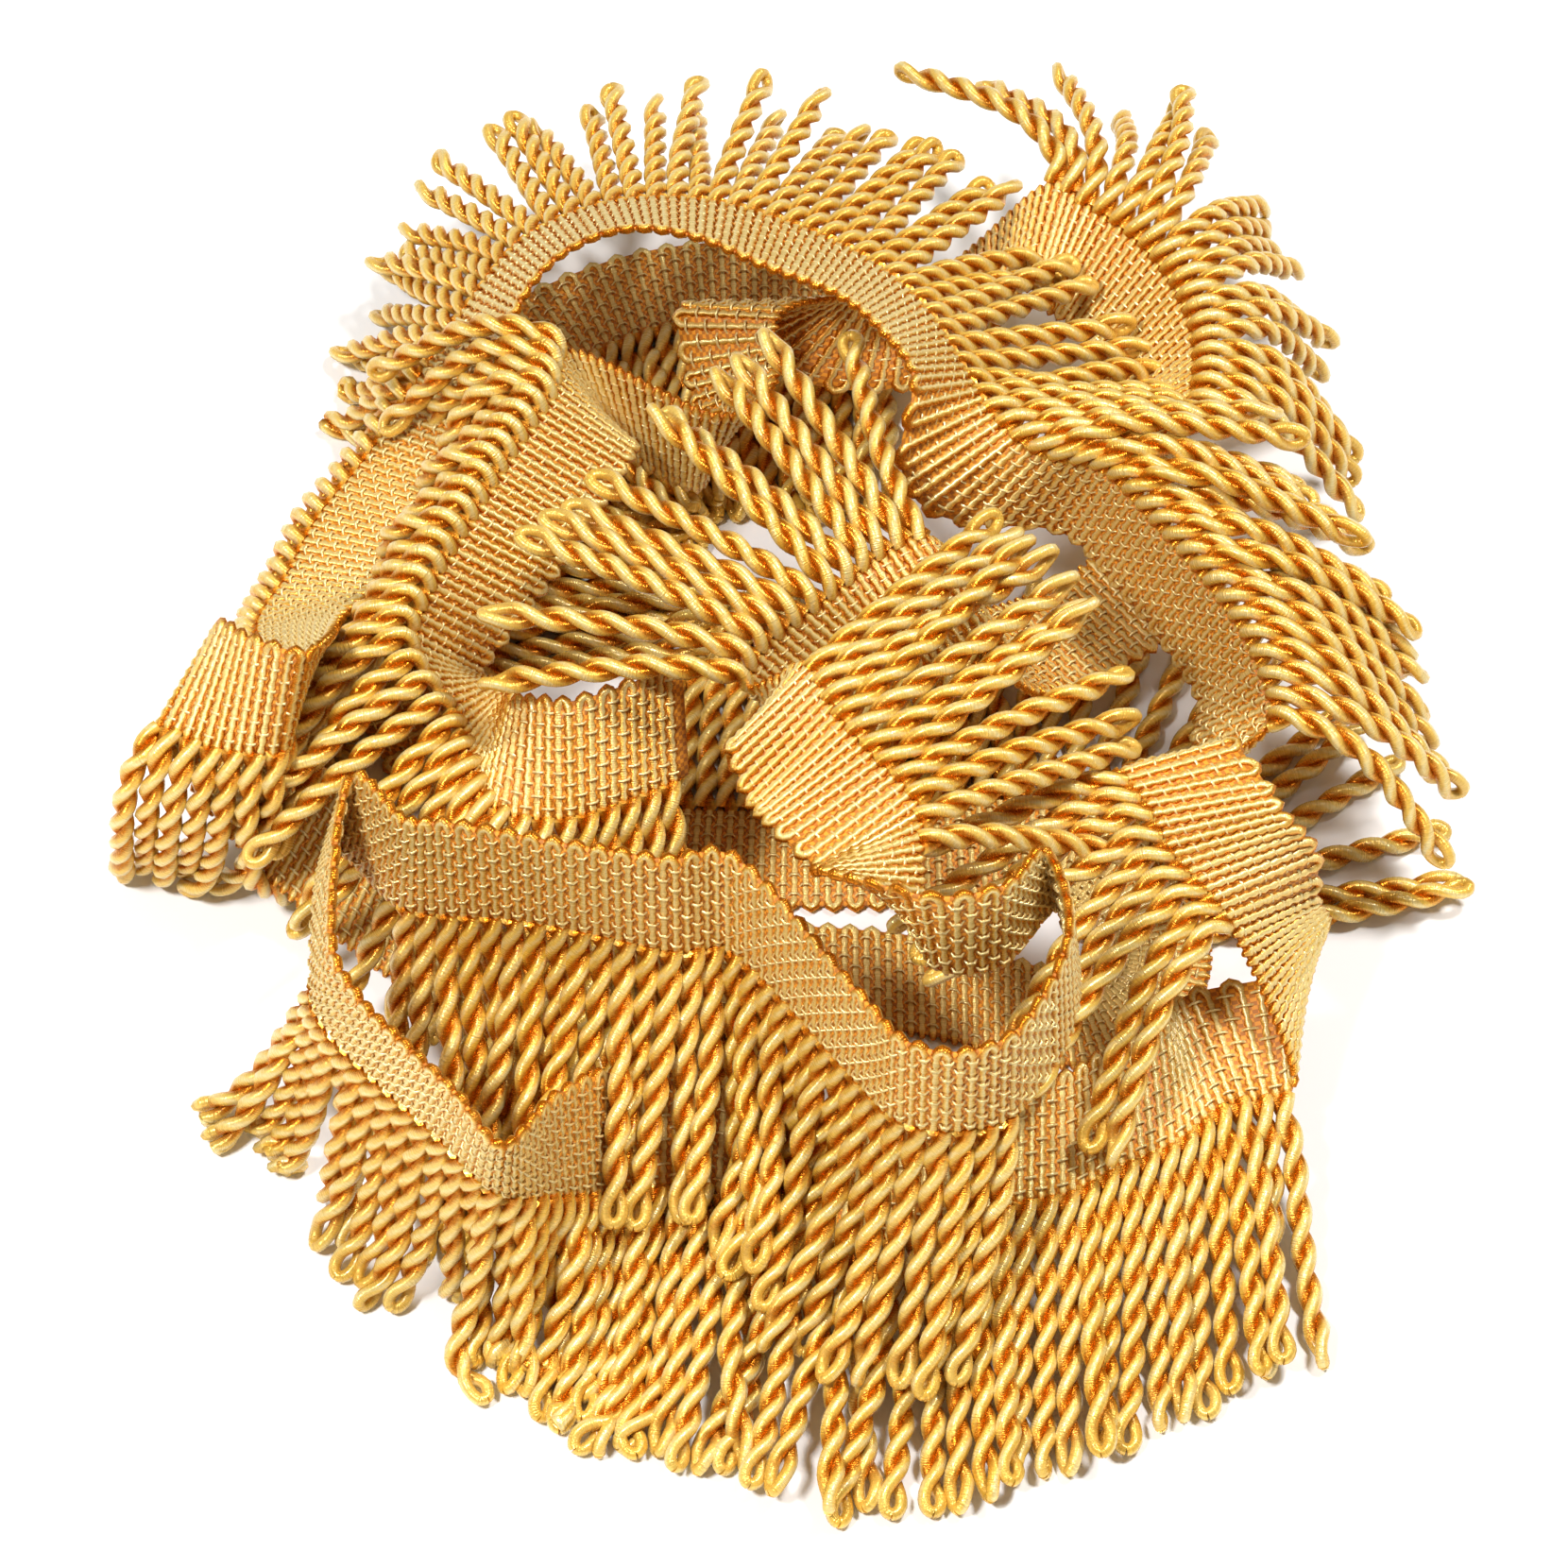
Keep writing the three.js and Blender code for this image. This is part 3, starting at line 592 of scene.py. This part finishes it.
# Painted shade: the colour is darker in the grooves between the turns of floss.
painted_groove_shade = wrapped_math("MULTIPLY_ADD", height, 1 - PAINTED_GROOVE_SHADE, PAINTED_GROOVE_SHADE)
shaded = add_node(wrapped, "ShaderNodeVectorMath", (0, gold_with_painted_light), ("Scale", painted_groove_shade),
                  operation="SCALE").outputs[0]
metal = wrapped_math("MULTIPLY_ADD", crest, CREST_METAL - CREVICE_METAL, CREVICE_METAL)
gloss = wrapped_math("MULTIPLY", crest, CREST_GLOSS)
dull = wrapped_math("MULTIPLY_ADD", height, -FLOSS_SMOOTHER, GROOVE_ROUGHNESS)
add_node(wrapped, "NodeGroupOutput", ("Colour", shaded), ("Roughness", dull), ("Metal", metal),
         ("Gloss", gloss), ("Height", height))


def yarn_finish(name, wrap_width, pale, deep, crevice_shade, crest, relief):
    finish = bpy.data.materials.new(name)
    finish.use_nodes = True
    tree = finish.node_tree
    shade = tree.nodes["Principled BSDF"]
    shade.inputs["Specular IOR Level"].default_value = 1.0
    shade.inputs["Specular Tint"].default_value = (1.0, 0.92, 0.66, 1)
    shade.inputs["Coat Roughness"].default_value = 0.2
    floss = add_node(tree, "ShaderNodeGroup", node_tree=wrapped)
    for socket, attribute in (("Along", "along"), ("Tint", "tint"), ("Facing", "facing")):
        carried = add_node(tree, "ShaderNodeAttribute", attribute_name=attribute)
        tree.links.new(carried.outputs["Fac"], floss.inputs[socket])
    for socket, value in (("Wrap Width", wrap_width), ("Pale", pale), ("Deep", deep), ("Crevice Shade", crevice_shade),
                          ("Crest Start", crest[0]), ("Crest End", crest[1])):
        floss.inputs[socket].default_value = value
    bump = add_node(tree, "ShaderNodeBump", ("Height", floss.outputs["Height"]), ("Strength", relief),
                    ("Distance", 0.0002))
    for output, socket in (("Colour", "Base Color"), ("Roughness", "Roughness"), ("Metal", "Metallic"),
                           ("Gloss", "Coat Weight")):
        tree.links.new(floss.outputs[output], shade.inputs[socket])
    tree.links.new(bump.outputs["Normal"], shade.inputs["Normal"])
    return finish


# The crevice colour is painted shade. The group also paints a highlight along the crest and shade in the
# floss grooves.
rib_finish = yarn_finish("rib_gold", wrap_width=0.00014, pale=(0.98, 0.69, 0.17, 1),
                         deep=(0.92, 0.50, 0.03, 1), crevice_shade=(0.70, 0.21, 0.003, 1),
                         crest=(0.35, 0.95), relief=0.4)
rib_side = tape_at(rib_place)[3]
rib_along = distance_along(rib_points)
rib_tint = spread_of(np.arange(len(strand_at)), 5)[:, None]
halfway = len(strand_at) // 2
for name, half in (("heading_ribs_first", slice(0, halfway)), ("heading_ribs_last", slice(halfway, None))):
    ribs = yarns(name, rib_points[half], 1, RIB_SIDES, SAME_BOTH_SIDES, rib_finish, thick=rib_radius,
                 turn=0.0, side=rib_side[half], along=rib_along[half], tint=rib_tint[half])
    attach(ribs, "root")

# Binding threads: fine gold warp threads that cross the ribs in rows, over one rib and under the next.
# They lie low between the beads on the front of the tape and stand up as short bars on its back.
THREAD_RADIUS = 0.22
THREAD_FRONT = 0.5
THREAD_BACK = -0.8
THREAD_ASIDE = 0.42
THREAD_SIDES = 4

rib_at = (np.arange(2 * len(strand_at)) + 0.5) * CORD_PITCH / 2
thread_at = (rib_at[:, None] + np.array([-THREAD_ASIDE, THREAD_ASIDE])).ravel()
over_rib = np.repeat(np.arange(len(rib_at)), 2)
thread_points = []
for row, depth in enumerate(BINDING_ROWS):
    height = np.where((over_rib + row) % 2 == 0, THREAD_FRONT, THREAD_BACK)
    thread_points.append(on_tape(thread_at, np.full(len(thread_at), depth), height))
thread_points = np.array(thread_points)
thread_points[..., 2] = np.maximum(thread_points[..., 2], THREAD_RADIUS)
# The crevice colour is painted shade. The group also paints a highlight along the crest and shade in the
# floss grooves.
thread_finish = yarn_finish("thread_gold", wrap_width=0.0006, pale=(1.0, 0.84, 0.44, 1),
                            deep=(0.95, 0.68, 0.2, 1), crevice_shade=(0.7, 0.28, 0.01, 1),
                            crest=(-0.05, 0.6), relief=0.2)
thread_side = np.broadcast_to(tape_at(thread_at)[3], thread_points.shape)
binding_threads = yarns("binding_threads", thread_points, 1, THREAD_SIDES, SAME_BOTH_SIDES, thread_finish,
                        thick=THREAD_RADIUS, turn=0.0, side=thread_side, along=distance_along(thread_points),
                        tint=0.5)
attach(binding_threads, "root")

# Cords: each is one gold ply folded back on itself and twisted, with an open eye left at its tip.
# They leave the tape's lower edge side by side and settle against each other, the tape and the floor.
CORD_LENGTH = 38.0
CORD_DIAMETER = 3.5
CORD_POINTS = 13
BEND_SHARE = 0.45
SWAY = 0.15
LENGTH_SPREAD = 0.03
SETTLE_ROUNDS = 120
ROUNDS_PER_SEARCH = 4
FIRST_FREE = 2
FIRST_OFF_TAPE = 3
PUSH_SHARE = 0.9
RETURN_SHARE = 0.03
STRAIGHTEN_SHARE = 0.15
TAPE_CLEARANCE = CORD_DIAMETER / 2 + 1.2
PAIR_MARGIN = 1.5
TURN_LENGTH = 10.8
TURN_SPREAD = 0.08
CORD_SIDES = 7
PLY_RADIUS = 1.02
PLY_APART = 0.8
EYE_APART = 1.3
EYE_RADIUS = 0.88
EYE_LENGTH = 5.0
EYE_END = 2.0
# The eye's lift raises the facing mask at the open eye, so less painted crevice shade falls on the tip.
EYE_SHADE_LIFT = 0.5
ROOT_LENGTH = 3.0

cord_row = row_at(strand_at)
row_below = np.floor(cord_row).astype(int)
row_above = np.minimum(row_below + 1, last_row)
is_corded = run_corded[run_of_row[row_below]] & run_corded[run_of_row[row_above]]
cord_index = np.flatnonzero(is_corded)
cord_row = cord_row[cord_index]
cord_run = run_of_row[np.floor(cord_row + 0.5).astype(int)]
edge, along, tape, _ = tape_at(strand_at[cord_index])
sway_along = 2 * spread_of(cord_index, 1) - 1
sway_up = 2 * spread_of(cord_index, 2) - 1
cord_aim = unit(unit(smooth(row_cord, cord_row)) + SWAY * sway_along[:, None] * along
                + SWAY * sway_up[:, None] * np.array([0, 0, 1.0]))
cord_step = CORD_LENGTH * (1 + LENGTH_SPREAD * (2 * spread_of(cord_index, 3) - 1)) / (CORD_POINTS - 1)
laid = [edge]
for j in range(1, CORD_POINTS):
    share = min((j - 0.5) / (CORD_POINTS * BEND_SHARE), 1)
    turned = share * share * (3 - 2 * share)
    laid.append(laid[-1] + cord_step[:, None] * unit((turned - 1) * tape + turned * cord_aim))
laid = np.stack(laid, axis=1)

tape_grid_at = np.arange(0, trim_length, 3.0)
grid_edge, _, grid_tape, _ = tape_at(tape_grid_at)
grid_depth = np.linspace(0.5, TAPE_DEPTH - 0.5, 6)
tape_grid = (grid_edge[:, None] + grid_tape[:, None] * grid_depth[None, :, None]).reshape(-1, 3)


def near_pairs(points, others, reach):
    book = {}
    for j, cell in enumerate(map(tuple, np.floor(others / reach).astype(int))):
        book.setdefault(cell, []).append(j)
    first, second = [], []
    around = [(x, y, z) for x in (-1, 0, 1) for y in (-1, 0, 1) for z in (-1, 0, 1)]
    for i, (x, y, z) in enumerate(np.floor(points / reach).astype(int)):
        for dx, dy, dz in around:
            found = book.get((x + dx, y + dy, z + dz))
            if found:
                first.extend([i] * len(found))
                second.extend(found)
    return np.array(first, int), np.array(second, int)


# Cords push each other apart, lie on the tape and the floor, and keep their length
cords = laid.copy()
owner = np.repeat(np.arange(len(cords)), CORD_POINTS)
place_on_cord = np.tile(np.arange(CORD_POINTS), len(cords))
for turn in range(SETTLE_ROUNDS):
    points = cords.reshape(-1, 3)
    if turn % ROUNDS_PER_SEARCH == 0:
        a, b = near_pairs(points, points, CORD_DIAMETER + PAIR_MARGIN)
        apart = owner[a] < owner[b]
        a, b = a[apart], b[apart]
        c, d = near_pairs(points, tape_grid, TAPE_CLEARANCE + PAIR_MARGIN)
        free = place_on_cord[c] >= FIRST_OFF_TAPE
        c, d = c[free], d[free]
    push = np.zeros_like(points)
    hits = np.zeros(len(points))
    gap = points[a] - points[b]
    far = np.linalg.norm(gap, axis=1)
    close = far < CORD_DIAMETER
    shove = unit(gap[close]) * ((CORD_DIAMETER - far[close]) / 2)[:, None]
    np.add.at(push, a[close], shove)
    np.add.at(push, b[close], -shove)
    np.add.at(hits, a[close], 1)
    np.add.at(hits, b[close], 1)
    gap = points[c] - tape_grid[d]
    far = np.linalg.norm(gap, axis=1)
    close = far < TAPE_CLEARANCE
    np.add.at(push, c[close], unit(gap[close]) * (TAPE_CLEARANCE - far[close])[:, None])
    np.add.at(hits, c[close], 1)
    push *= (place_on_cord >= FIRST_FREE)[:, None]
    points = points + PUSH_SHARE * push / np.maximum(hits, 1)[:, None]
    points[:, 2] = np.maximum(points[:, 2], CORD_DIAMETER / 2)
    cords = points.reshape(cords.shape)
    cords[:, FIRST_FREE:] += RETURN_SHARE * (laid[:, FIRST_FREE:] - cords[:, FIRST_FREE:])
    for _ in range(2):
        for j in range(FIRST_FREE, CORD_POINTS):
            cords[:, j] = cords[:, j - 1] + unit(cords[:, j] - cords[:, j - 1]) * cord_step[:, None]
        for j in range(FIRST_FREE, CORD_POINTS - 1):
            middle = (cords[:, j - 1] + cords[:, j + 1]) / 2
            cords[:, j] += STRAIGHTEN_SHARE * (middle - cords[:, j])
    cords[..., 2] = np.maximum(cords[..., 2], CORD_DIAMETER / 2)

# Finer centre lines, closer together at the eye, with a side that doesn't turn round the cord
fine = np.concatenate([np.arange(0, 11, 0.25), [11, 11.25, 11.5, 11.7, 11.85, 11.95, 12]])
knot = np.minimum(np.floor(fine).astype(int), CORD_POINTS - 2)
centre_lines = curve(*(cords[:, np.clip(knot + step, 0, CORD_POINTS - 1)] for step in (-1, 0, 1, 2)),
                     (fine - knot)[None, :, None])
ways = unit(np.gradient(centre_lines, axis=1))
sides = np.empty_like(centre_lines)
side_now = along
for j in range(len(fine)):
    side_now = unit(side_now - np.sum(side_now * ways[:, j], axis=1, keepdims=True) * ways[:, j])
    sides[:, j] = side_now
length_along = distance_along(centre_lines)
to_tip = length_along[:, -1:] - length_along
root_share = np.clip(length_along / ROOT_LENGTH, 0, 1)
eye_share = np.clip((EYE_LENGTH + EYE_END - to_tip) / EYE_LENGTH, 0, 1)
eye_share = eye_share * eye_share * (3 - 2 * eye_share)
apart = CORD_PITCH / 4 + (PLY_APART - CORD_PITCH / 4) * root_share
apart = apart + (EYE_APART - PLY_APART) * eye_share
apart = apart * np.sqrt(1 - np.clip(1 - to_tip / EYE_END, 0, 1) ** 2)
ply_radius = PLY_RADIUS + (EYE_RADIUS - PLY_RADIUS) * eye_share
centre_lines[..., 2] = np.maximum(centre_lines[..., 2], apart + ply_radius)
untwist = np.clip((EYE_LENGTH - to_tip) / EYE_LENGTH, 0, 1)
turned_length = length_along - EYE_LENGTH * untwist**2 / 2
turn_spread = 1 + TURN_SPREAD * (2 * spread_of(cord_index, 4) - 1)
twist_turn = 2 * math.pi * turned_length / (TURN_LENGTH * turn_spread[:, None])
cord_tint = spread_of(cord_index, 6)[:, None]

# The crevice colour is painted shade. The group also paints a highlight along the crest and shade in the
# floss grooves.
cord_finish = yarn_finish("cord_gold", wrap_width=0.00014, pale=(0.98, 0.69, 0.17, 1),
                          deep=(0.92, 0.51, 0.03, 1), crevice_shade=(0.72, 0.22, 0.003, 1),
                          crest=(-0.05, 0.65), relief=0.4)
for k, (run_name, corded, _, _) in enumerate(ROUTE):
    own = cord_run == k
    if not corded:
        continue
    fringe = yarns("cords_" + run_name, centre_lines[own], 2, CORD_SIDES, 0.0, cord_finish, side=sides[own],
                   turn=twist_turn[own], apart=apart[own], thick=ply_radius[own], along=length_along[own],
                   tint=cord_tint[own], open=EYE_SHADE_LIFT * eye_share[own])
    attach(fringe, "root")
    # The row under the bowl hangs from a stretch that has no solid strands
    if run_name != "base_front":
        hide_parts("fringe_" + run_name)

# Floor: a plain pale surface that the heap lies on, with no edge in view.
floor_mesh = bpy.data.meshes.new("floor")
floor_mesh.from_pydata([(-3, -3, 0), (3, -3, 0), (3, 3, 0), (-3, 3, 0)], [], [(0, 1, 2, 3)])
floor = bpy.data.objects.new("floor", floor_mesh)
bpy.context.scene.collection.objects.link(floor)
floor_finish = bpy.data.materials.new("floor_white")
floor_finish.use_nodes = True
shade = floor_finish.node_tree.nodes["Principled BSDF"]
shade.inputs["Base Color"].default_value = (0.9, 0.9, 0.9, 1)
shade.inputs["Roughness"].default_value = 0.8
floor_mesh.materials.append(floor_finish)

# Studio light: a pale warm surround and two soft square lamps above the heap, the left one brighter.
world = bpy.data.worlds.new("studio")
world.use_nodes = True
surround = world.node_tree.nodes["Background"]
surround.inputs["Color"].default_value = (1, 0.94, 0.84, 1)
surround.inputs["Strength"].default_value = 0.26
bpy.context.scene.world = world
bpy.context.scene.view_settings.view_transform = "Standard"

LAMPS_AIM = (0, 0.03, 0.02)


def soft_lamp(name, place, power, size):
    lamp = bpy.data.lights.new(name, "AREA")
    lamp.energy = power
    lamp.size = size
    holder = bpy.data.objects.new(name, lamp)
    holder.location = place
    way = np.array(LAMPS_AIM) - np.array(place)
    tilt = math.acos(way[2] / np.linalg.norm(way)) + math.pi
    holder.rotation_euler = (tilt, 0, math.atan2(way[1], way[0]) - math.pi / 2)
    bpy.context.scene.collection.objects.link(holder)


soft_lamp("lamp_left", (-0.4, -0.3, 0.9), 19, 0.2)
soft_lamp("lamp_right", (0.35, 0.15, 0.95), 12, 0.2)

# Camera: it looks down on the front of the heap, as the photo does.
CAMERA_RISE = math.radians(55)
CAMERA_AWAY = 0.7
LOOK_AT = (0.0, 0.020, 0.025)
FRAME_WIDTH = 0.21746
SENSOR_WIDTH = 36
view = bpy.data.cameras.new("camera")
view.sensor_width = SENSOR_WIDTH
view.lens = SENSOR_WIDTH * CAMERA_AWAY / FRAME_WIDTH
camera = bpy.data.objects.new("camera", view)
camera.location = (LOOK_AT[0], LOOK_AT[1] - CAMERA_AWAY * math.cos(CAMERA_RISE),
                   LOOK_AT[2] + CAMERA_AWAY * math.sin(CAMERA_RISE))
camera.rotation_euler = (math.pi / 2 - CAMERA_RISE, 0, 0)
bpy.context.scene.collection.objects.link(camera)
bpy.context.scene.camera = camera

bpy.context.view_layer.update()
